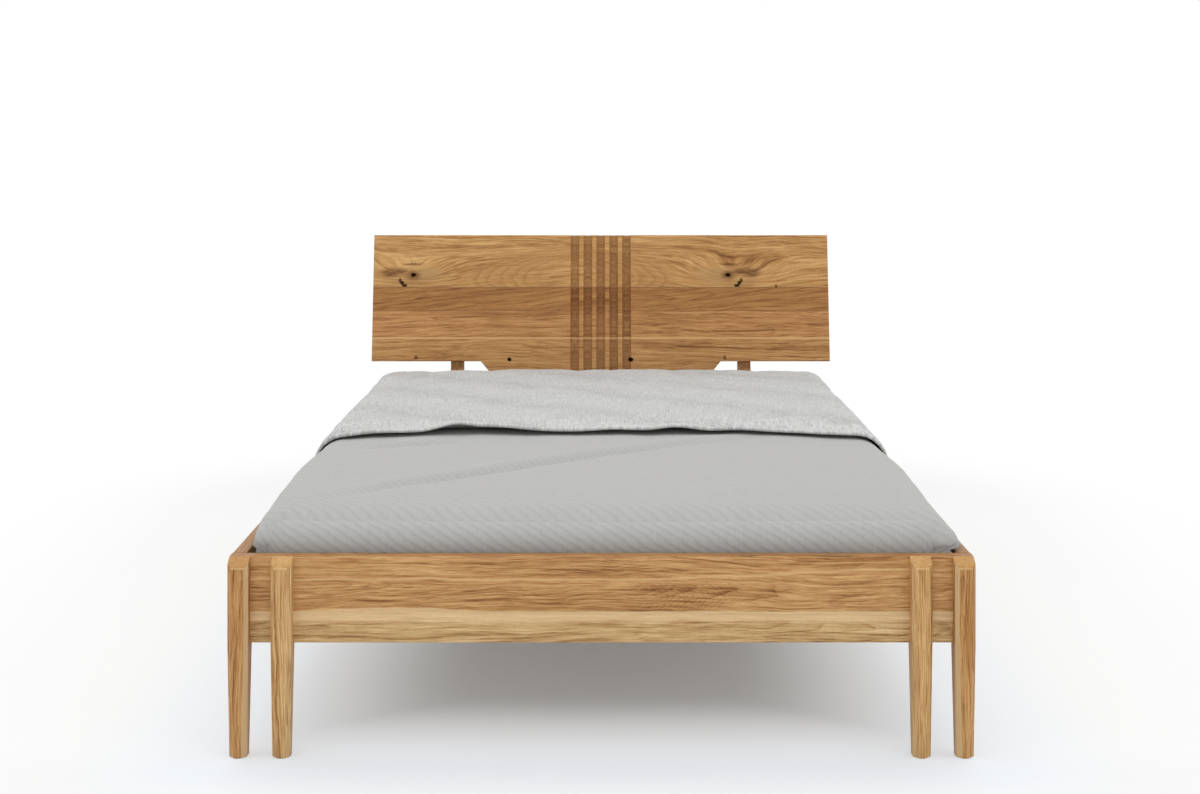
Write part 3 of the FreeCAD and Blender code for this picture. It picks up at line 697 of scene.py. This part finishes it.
mattress_low, mattress_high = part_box("mattress")
mattress_half = mattress_high.x
mattress_edges = (0.045, 0.045, 0.045, 0.045 * 0.6 + 0.115)
s, t = cloth_grid(mattress_half, mattress_low.y, mattress_high.y, mattress_edges, 0.022, 0.012)
under_z = mattress_low.z + 0.001


def mattress_top(x, y):
    """The mattress is crowned a little across."""
    return mattress_high.z - 0.002 - 0.004 * (x / mattress_half) ** 2


upper, q, turn = over_block(s, t, mattress_half - 0.002, mattress_low.y + 0.002, mattress_high.y - 0.002,
    mattress_edges, under_z + 0.006, mattress_top)
upper += outward(upper) * (0.0015 * np.sin(np.pi * np.clip((q - bend_share) / (1 - bend_share), 0, 1))
    * uneven(s, t, 3, 0.20))[..., None]
s_reach, t_mid = np.abs(s).max(), (t.max() + t.min()) / 2
t_reach = t.max() - t_mid
ring = np.maximum(np.maximum(np.abs(s) / s_reach, np.abs(t - t_mid) / t_reach), 1e-6)
hem, _, _ = over_block(s / ring, t_mid + (t - t_mid) / ring, mattress_half - 0.002, mattress_low.y + 0.002,
    mattress_high.y - 0.002, mattress_edges, under_z, mattress_top)
centre = np.array([0.0, (mattress_low.y + mattress_high.y) / 2, 0.0])
under = centre + (hem - centre) * (ring * 0.985)[..., None]
under[..., 2] = under_z + 0.0006 * (1 - np.cos(2 * np.pi * (under[..., 0] + under[..., 1]) / 0.09)
    * np.cos(2 * np.pi * (under[..., 0] - under[..., 1]) / 0.09))
mattress = closed_cloth("mattress_in_ticking", upper, under, under)

ticking = material_of("ticking_knit")
tree = ticking.node_tree
place = add(tree, "TexCoord").outputs["Object"]
stitches = add(tree, "TexVoronoi", {"Vector": place, "Scale": 420.0}).outputs["Distance"]
parts = split(tree, place)
slant = [reckon(tree, "ABSOLUTE", reckon(tree, "SINE", times(tree,
    reckon(tree, operation, parts[0], parts[1]), 35.0))) for operation in ("ADD", "SUBTRACT")]
quilting = between(tree, reckon(tree, "MINIMUM", slant[0], slant[1]), 0.0, 0.16)
fuzz = cloudy(tree, place, (160, 160, 160), 4.0)
shade = ramp(tree, fuzz, [(0.3, seen(222, 219, 210)), (0.7, seen(240, 238, 231))])
# The quilting grooves are painted darker: painted shade in the hollows of the quilting.
shade = paint(tree, "MULTIPLY", times(tree, between(tree, quilting, 0.0, 1.0, 1, 0), 0.25), shade,
    (0.62, 0.60, 0.56))
body = finish(ticking, shade, between(tree, fuzz, 0.2, 0.8, 0.82, 0.95),
    scaled(tree, stitches, -0.25, quilting), 0.6, 0.003)
body.inputs["Sheen Weight"].default_value = 0.2
mattress.data.materials.append(ticking)
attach(mattress, "mattress")
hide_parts("mattress")


# The grey quilt: a plain cotton quilt with fine slanting ribs, laid over the mattress and tucked
# down between it and the rails. It is thickest in the middle and gathers where it is tucked in.
quilt_low, quilt_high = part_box("bed_cover")
quilt_half, quilt_foot, quilt_head = quilt_high.x, quilt_low.y, quilt_high.y
quilt_peak, quilt_hem = quilt_high.z, quilt_low.z
quilt_edges = (0.068, 0.095, 0.040, 0.185)
bed_middle = (quilt_foot + quilt_head) / 2
quilt_arch = 0.022


def settle(piece, loose, growth, push, rise, sink):
    """Lets a cloth piece ease into folds with the cloth solver, and keeps the shape it takes.

    loose is 0 where a point is held and 1 where it is free. The cloth is cut larger than the
    shape it lies on by the growth and filled with a little air, with gravity off. A point ends
    no further from where it began than rise outwards and sink inwards, times how loose it is."""
    frames, levels = 20, 20
    mesh = piece.data
    count = len(mesh.vertices)
    before, normals, after = (np.empty(count * 3, np.float32) for _ in range(3))
    mesh.vertices.foreach_get("co", before)
    mesh.vertices.foreach_get("normal", normals)
    held = piece.vertex_groups.new(name="held")
    steps = np.round((1 - loose) * levels).astype(int)
    for step in range(1, levels + 1):
        held.add(np.flatnonzero(steps == step).tolist(), step / levels, "REPLACE")
    solver = piece.modifiers.new("settling", "CLOTH")
    cloth, stage = solver.settings, bpy.context.scene
    cloth.quality, cloth.mass, cloth.air_damping = 5, 0.3, 6.0
    cloth.tension_stiffness, cloth.compression_stiffness, cloth.shear_stiffness = 12.0, 12.0, 4.0
    cloth.bending_stiffness, cloth.bending_damping = 1.2, 1.0
    cloth.vertex_group_mass, cloth.pin_stiffness = "held", 1.0
    cloth.shrink_min = cloth.shrink_max = -growth
    cloth.use_pressure, cloth.uniform_pressure_force = True, push
    cloth.effector_weights.gravity = 0.0
    solver.collision_settings.use_collision = False
    solver.point_cache.frame_start, solver.point_cache.frame_end = 1, frames
    for moment in range(1, frames + 1):
        stage.frame_set(moment)
    shaped = piece.evaluated_get(bpy.context.evaluated_depsgraph_get())
    shaped.to_mesh().vertices.foreach_get("co", after)
    shaped.to_mesh_clear()
    piece.modifiers.remove(solver)
    piece.vertex_groups.remove(held)
    stage.frame_set(1)
    before, normals = before.reshape(-1, 3), normals.reshape(-1, 3)
    moved = ((after.reshape(-1, 3) - before) * normals).sum(-1)
    moved = np.where(moved > 0, rise * np.tanh(moved / rise), sink * np.tanh(moved / sink)) * loose
    mesh.vertices.foreach_set("co", (before + normals * moved[:, None]).astype(np.float32).ravel())
    mesh.update()


def quilt_top(x, y):
    """The quilt's height: an arch along the bed, almost level across it."""
    along = y - bed_middle
    arch = np.where(along > 0, quilt_arch * 0.70, quilt_arch) * along ** 2
    dip = 0.010 * np.clip((-0.80 - y) / 0.22, 0, 1) ** 2
    return quilt_peak - arch - dip - 0.006 * (x / quilt_half) ** 4


def squared(y):
    """How square the quilt's side edges are: fully towards the foot, not at all under the blanket."""
    share = np.clip((-0.26 - y) / 0.30, 0, 1)
    return share * share * (3 - 2 * share)


def bell(x, width):
    """A bell curve that is 1 where x is 0 and about a third where x is the width."""
    return np.exp(-(x / width) ** 2)


def crease(x, y, path, width, depth):
    """A valley along a line of points: depth times a bell curve of the distance to the line."""
    near = np.full(x.shape, 9.0)
    fade = np.zeros(x.shape)
    for k, (first, second) in enumerate(zip(path[:-1], path[1:])):
        step = np.array(second) - np.array(first)
        share = np.clip(((x - first[0]) * step[0] + (y - first[1]) * step[1]) / (step @ step), 0, 1)
        away = np.hypot(x - first[0] - share * step[0], y - first[1] - share * step[1])
        place = (k + share) / (len(path) - 1)
        fade = np.where(away < near, np.sin(np.pi * np.clip(place, 0.02, 0.98)) ** 0.5, fade)
        near = np.minimum(near, away)
    return -depth * fade * bell(near, width)


long_crease = [(-0.572, -0.889), (-0.442, -0.784), (-0.230, -0.652), (-0.003, -0.482), (0.193, -0.357),
               (0.372, -0.274)]
short_crease = [(-0.60, -0.39), (-0.45, -0.35), (-0.34, -0.33)]


def quilt_lumps(s, t, q, turn):
    """How far the quilt stands off its even shape: slow waves, two creases and tucked gathers."""
    lumps = 0.0016 * uneven(s, t, 11, 0.55) * (1 - np.clip(q / 0.5, 0, 1))
    lumps += crease(s, t, long_crease, 0.016, 0.0125) - 0.40 * crease(s, t - 0.045, long_crease, 0.03,
        0.0125)
    lumps += crease(s, t, short_crease, 0.016, 0.009) - 0.4 * crease(s, t - 0.04, short_crease, 0.03,
        0.009)
    foot_side = (t < quilt_foot + quilt_edges[1]) * np.sin(turn)
    gather = np.abs(np.sin(np.pi * (s + 0.6 * (quilt_foot - t)) / 0.024 + 1.4 * uneven(s, t, 5, 0.4)))
    deepest = np.clip((q - 0.30) / 0.25, 0, 1) * np.clip((0.95 - q) / 0.3, 0, 1)
    lumps += foot_side * deepest * (0.0034 * gather - 0.0017 + 0.0022 * uneven(s, t * 0.3, 8, 0.12))
    side = (1 - foot_side) * np.clip(q / 0.4, 0, 1) * np.clip((0.95 - q) / 0.3, 0, 1)
    lumps += side * 0.0016 * uneven(s * 0.5, t, 21, 0.25)
    return lumps


s, t = cloth_grid(quilt_half, quilt_foot, quilt_head, quilt_edges, 0.0125, 0.007)
upper, q, turn = over_block(s, t, quilt_half - 0.0015, quilt_foot + 0.0015, quilt_head - 0.0015,
    quilt_edges, quilt_hem, quilt_top, squared(t), 0.060)
upper += outward(upper) * quilt_lumps(s, t, q, turn)[..., None]
# Above the rails the corners at the foot bulge and rest on them, and lower down they tuck in.
height_here, along_here = upper[..., 2], upper[..., 1] - quilt_foot
resting = np.clip((height_here - 0.4035) / 0.006, 0, 1) * np.clip((0.466 - height_here) / 0.034, 0, 1)
corner = np.clip((np.abs(upper[..., 0]) - 0.60) / 0.09, 0, 1) * resting
spread = np.where(upper[..., 0] > 0, 0.020, 0.006) * bell(along_here, 0.070)
spread += np.where(upper[..., 0] > 0, 0.009, 0.003) * bell(along_here, 0.20)
upper[..., 0] += np.sign(upper[..., 0]) * corner * spread
tucked = np.clip((0.424 - height_here) / 0.028, 0, 1)
held_out = np.clip((upper[..., 0] - 0.66) / 0.04, 0, 1) * bell(along_here, 0.03)
upper[..., 0] += 0.0085 * tucked * held_out
upper[..., 1] += (0.010 * (1 - held_out) - 0.002 * held_out) * tucked * (t < quilt_foot
    + quilt_edges[1]) * np.sin(turn) ** 2
under, _, _ = over_block(s, t, mattress_half + 0.0025, mattress_low.y - 0.0008, mattress_high.y + 0.0008,
    (0.050, 0.046, 0.046, quilt_edges[3]), quilt_hem, lambda x, y: mattress_high.z + 0.001 + 0.0 * x)
quilt = closed_cloth("grey_quilt", upper, under, np.stack([s, t, np.clip(q, 0, 1)], -1))
in_front = np.clip((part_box("turned_cover")[0].y - 0.05 - t) / 0.10, 0, 1)
loose = np.zeros(len(quilt.data.vertices), np.float32)
loose[:s.size] = (in_front * np.clip((0.40 - q) / 0.15, 0, 1)).ravel()
settle(quilt, loose, 0.012, 0.05, 0.004, 0.003)

weave, given, made = group("ribbed_cloth", [
    ("Cloth", "Vector", None), ("Rib", "Float", 0.0135), ("Pale", "Color", (0.5, 0.5, 0.5, 1.0)),
    ("Dark", "Color", (0.4, 0.4, 0.4, 1.0)), ("Slub", "Float", 0.3),
], [("Color", "Color"), ("Roughness", "Float"), ("Height", "Float")])
parts = split(weave, given["Cloth"])
wobble = minus(weave, cloudy(weave, given["Cloth"], (9, 9, 9), 3.0), 0.5)
slanting = scaled(weave, parts[1], 0.80, times(weave, parts[0], 0.60))
slanting = scaled(weave, wobble, 0.012, slanting)
rib = reckon(weave, "SINE", times(weave, reckon(weave, "DIVIDE", slanting, given["Rib"]), math.pi))
rib = times(weave, reckon(weave, "POWER", reckon(weave, "ABSOLUTE", rib), 0.6),
    scaled(weave, parts[2], 0.8, 1.0))
twill = reckon(weave, "SINE", times(weave, reckon(weave, "ADD", parts[0], parts[1]), 2600.0))
slub = cloudy(weave, given["Cloth"], (70, 300, 1), 3.0, 0.6)
lengthwise = cloudy(weave, given["Cloth"], (300, 20, 1), 3.0, 0.65)
clouded = cloudy(weave, given["Cloth"], (13, 8, 1), 3.0, 0.6)
threads = scaled(weave, minus(weave, lengthwise, 0.5), 1.5, minus(weave, slub, 0.5))
threads = times(weave, threads, reckon(weave, "ADD", parts[2], 1.0))
threads = scaled(weave, minus(weave, clouded, 0.5), 0.30, threads)
# The rib hollows are painted darker than the crests, and more so where the cloth's third coordinate is
# higher, as over the quilt's turned-down skirts: painted shade.
mixed = scaled(weave, threads, given["Slub"], scaled(weave, rib, 0.24, 0.31))
weave.links.new(paint(weave, "MIX", mixed, given["Dark"], given["Pale"]), made["Color"])
weave.links.new(between(weave, threads, -0.4, 0.4, 0.95, 0.8), made["Roughness"])
weave.links.new(scaled(weave, threads, times(weave, given["Slub"], 0.8),
    scaled(weave, twill, 0.04, times(weave, rib, 0.5))), made["Height"])


def cloth_material(name, rib, pale, dark, slub, strength, depth):
    """A woven material on the piece's own cloth coordinates."""
    material = material_of(name)
    tree = material.node_tree
    cloth = add(tree, "Attribute", attribute_name="cloth").outputs["Vector"]
    woven = add(tree, "Group", {"Cloth": cloth, "Rib": rib, "Pale": pale, "Dark": dark, "Slub": slub},
        node_tree=weave).outputs
    body = finish(material, woven["Color"], woven["Roughness"], woven["Height"], strength, depth)
    body.inputs["Specular IOR Level"].default_value = 0.2
    body.inputs["Sheen Weight"].default_value = 0.15
    return material


quilt.data.materials.append(cloth_material("grey_ribbed_cotton", 0.0175, seen(181, 181, 180),
    seen(152, 152, 150), 0.22, 0.65, 0.0012))
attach(quilt, "mattress")
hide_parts("bed_cover")


# The pale blanket: coarse washed linen laid over the upper part of the bed, its front edge
# folded under in a soft roll that lifts off the quilt in two places.
blanket_low, blanket_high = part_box("turned_cover")
blanket_half, blanket_front, blanket_head = blanket_high.x, blanket_low.y, blanket_high.y
blanket_hem = blanket_low.z
blanket_edges = (0.074, 0.062, 0.036, 0.172)


def roll_lift(x):
    """How high the folded edge stands off the quilt: a little all along, and two soft peaks."""
    return (0.0075 + 0.016 * bell(x + 0.366, 0.055) + 0.006 * bell(x + 0.25, 0.10) + 0.011
        * bell(x - 0.19, 0.06) + 0.002 * np.sin(x * 21.0 + 0.7) - 0.004
        * np.clip((np.abs(x) - 0.5) / 0.15, 0, 1))


def front_line(s):
    """Where the folded edge runs: a little nearer the foot at the sides, and wavy."""
    return (blanket_front + 0.012 - 0.05 * np.clip(np.abs(s) / 0.70, 0, 1.1) ** 4 + 0.004
        * np.sin(s * 17.0 + 1.0) + 0.003 * np.sin(s * 41.0))


s, t = cloth_grid(blanket_half, blanket_front, blanket_head, blanket_edges, 0.0125, 0.007)
keep = t[:, 0] >= blanket_front + blanket_edges[1] - 0.001
s, t = s[keep], t[keep]
start = t[0, 0]
end = blanket_head - blanket_edges[2]
fine = np.concatenate([np.linspace(0, 0.10, 21)[:-1], np.linspace(0.10, 1.0, int((end - start) / 0.0125))])
t_flat = start + (end - start) * fine
t = np.concatenate([t_flat, t[t[:, 0] > end + 1e-6, 0]])
s, t = np.meshgrid(s[0], t)
share = np.clip((end - t) / (end - start), 0, 1)
t_bed = t + share * (front_line(s) - start)
gap = t_bed - front_line(s)


def blanket_point(half, head, edges, rise, hem):
    """The blanket's shape: the quilt's shape a little larger and raised by rise, squarer at the sides
    towards the head.
    """
    square = 0.8 * np.clip((t_bed - 0.55) / 0.35, 0, 1)
    return over_block(s, np.maximum(t_bed, quilt_foot + 0.3), half, quilt_foot, head, edges, hem, lambda x,
        y: quilt_top(x, y) + rise, square)


upper, q, turn = blanket_point(blanket_half - 0.0015, blanket_head - 0.001, blanket_edges, 0.013,
    blanket_hem)
under, _, _ = blanket_point(quilt_half + 0.0006, quilt_head + 0.0004, quilt_edges[:3] + (blanket_edges[3],),
    0.0022, blanket_hem)
lifted = roll_lift(s) * bell(gap, 0.055) * (1 - np.clip(q / 0.5, 0, 1) ** 2)
upper[..., 2] += lifted
under[..., 2] += lifted * 1.05
thin = bell(gap, 0.02)
soft = 0.0012 * uneven(s, t_bed, 31, 0.45) + 0.0007 * uneven(s, t_bed, 37, 0.09)
ridge = 0.0015 * bell(gap - 0.06, 0.03)
upper += outward(upper) * ((soft + ridge) * (1 - 0.6 * q))[..., None]
upper[..., 2] -= 0.002 * thin * (q < 0.1)
blanket = closed_cloth("linen_blanket", upper, under, np.stack([s, t_bed, bell(gap, 0.13)], -1), 8)
loose = np.zeros(len(blanket.data.vertices), np.float32)
loose[:s.size] = (np.clip(gap / 0.06, 0, 1) * np.clip((0.40 - q) / 0.15, 0, 1)).ravel()
settle(blanket, loose, 0.015, 0.1, 0.006, 0.003)
blanket.data.materials.append(cloth_material("pale_coarse_linen", 0.30, seen(203, 204, 204),
    seen(157, 158, 158), 1.10, 0.6, 0.0014))
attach(blanket, "mattress")
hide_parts("turned_cover")


# The studio: a pale floor with painted light and shade under and around the bed, a white room, a wide soft
# light over the foot of the bed and weaker ones in front and at the sides, and a camera at chest height.
camera_data = bpy.data.cameras.new("camera")
camera_data.lens = 50.0
camera_data.sensor_width = 36.0
camera_data.shift_y = -0.2138
camera_data.shift_x = 0.0004
camera_data.clip_end = 200.0
camera = put_in_scene("camera", camera_data)
camera.location = (-0.004, -4.4406, 1.238)
camera.rotation_euler = (math.pi / 2, 0.0, 0.0)
bpy.context.scene.camera = camera
bpy.context.scene.view_settings.view_transform = "Standard"


def seen_directly(tree):
    """1 for rays from the camera, glossy rays and rays let through, and 0 for the rest."""
    paths = add(tree, "LightPath").outputs
    direct = reckon(tree, "MAXIMUM", paths["Is Camera Ray"], paths["Is Glossy Ray"])
    return reckon(tree, "MAXIMUM", direct, paths["Is Transmission Ray"])


floor_mesh = bpy.data.meshes.new("floor")
floor_mesh.from_pydata([(-40, -40, 0), (40, -40, 0), (40, 40, 0), (-40, 40, 0)], [], [(0, 1, 2, 3)])
floor = put_in_scene("floor", floor_mesh)
floor_paint = material_of("pale_floor")
tree = floor_paint.node_tree
body = tree.nodes["Principled BSDF"]
place = add(tree, "TexCoord").outputs["Object"]
body.inputs["Roughness"].default_value = 0.9
body.inputs["Specular IOR Level"].default_value = 0.1
beside = shift(tree, "MAXIMUM", shift(tree, "SUBTRACT", shift(tree, "ABSOLUTE", place), (0.75, 1.1, 9.0)),
    (0, 0, 0))
beside = add(tree, "VectorMath", {0: beside}, operation="LENGTH").outputs["Value"]
glow = add(tree, "Emission", {"Color": (1.0, 1.0, 1.0, 1.0), "Strength": 1.0})
direct = seen_directly(tree)
spot = split(tree, place)
# For the camera the floor glows white away from the bed; under the bed the glow is shaped by place, more
# towards the sides and the front and less just in front of the bed: painted light and shade on the floor.
edge = reckon(tree, "MAXIMUM", between(tree, reckon(tree, "ABSOLUTE", spot[0]), 0.28, 0.78, 0.0, 0.42),
    between(tree, spot[1], -0.72, -1.02, 0.0, 0.36))
edge = minus(tree, reckon(tree, "ADD", edge, 0.13), between(tree, spot[1], -1.02, -1.22, 0.0, 0.28))
# The floor's colour is bluer under and beside the bed: a painted tint that cancels the warm light bounced
# off the wood.
tree.links.new(ramp(tree, between(tree, beside, 0.0, 0.35), [(0.0, (0.79, 0.86, 0.95)),
    (1.0, (0.81, 0.825, 0.83))]), body.inputs["Base Color"])
camera_only = times(tree, direct, reckon(tree, "MAXIMUM", edge, between(tree, beside, 0.0, 1.25, 0.08,
    1.0)))
shown = add(tree, "MixShader", {0: camera_only, 1: body.outputs[0], 2: glow.outputs[0]})
tree.links.new(shown.outputs[0], tree.nodes["Material Output"].inputs["Surface"])
floor.data.materials.append(floor_paint)
floor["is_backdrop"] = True

world = bpy.data.worlds.new("white_room")
bpy.context.scene.world = world
world.use_nodes = True
tree = world.node_tree
tree.nodes.clear()
direct = seen_directly(tree)
around = add(tree, "Background", {"Color": (1.0, 0.99, 0.975, 1.0), "Strength": 0.80})
backdrop = add(tree, "Background", {"Color": (1.0, 1.0, 1.0, 1.0), "Strength": 1.0})
both = add(tree, "MixShader", {0: direct, 1: around.outputs[0], 2: backdrop.outputs[0]})
tree.links.new(both.outputs[0], add(tree, "OutputWorld").inputs["Surface"])


def soft_light(name, place, aim, size, power):
    """An oblong area light turned towards a point."""
    data = bpy.data.lights.new(name, "AREA")
    data.shape = "RECTANGLE"
    data.size, data.size_y = size
    data.energy = power
    light = put_in_scene(name, data)
    light.location = place
    direction = np.array(aim, float) - np.array(place, float)
    light.rotation_euler = Vector(direction).to_track_quat("-Z", "Y").to_euler()


soft_light("overhead", (0.0, -0.6, 4.2), (0.0, 0.0, 0.3), (5.0, 4.0), 85.0)
soft_light("front", (0.0, -5.5, 2.6), (0.0, -0.8, 0.4), (4.0, 2.0), 10.0)
soft_light("left", (-4.5, -0.6, 1.3), (0.0, 0.0, 0.2), (3.0, 1.6), 14.0)
soft_light("right", (4.5, -0.6, 1.3), (0.0, 0.0, 0.2), (3.0, 1.6), 14.0)

low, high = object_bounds()
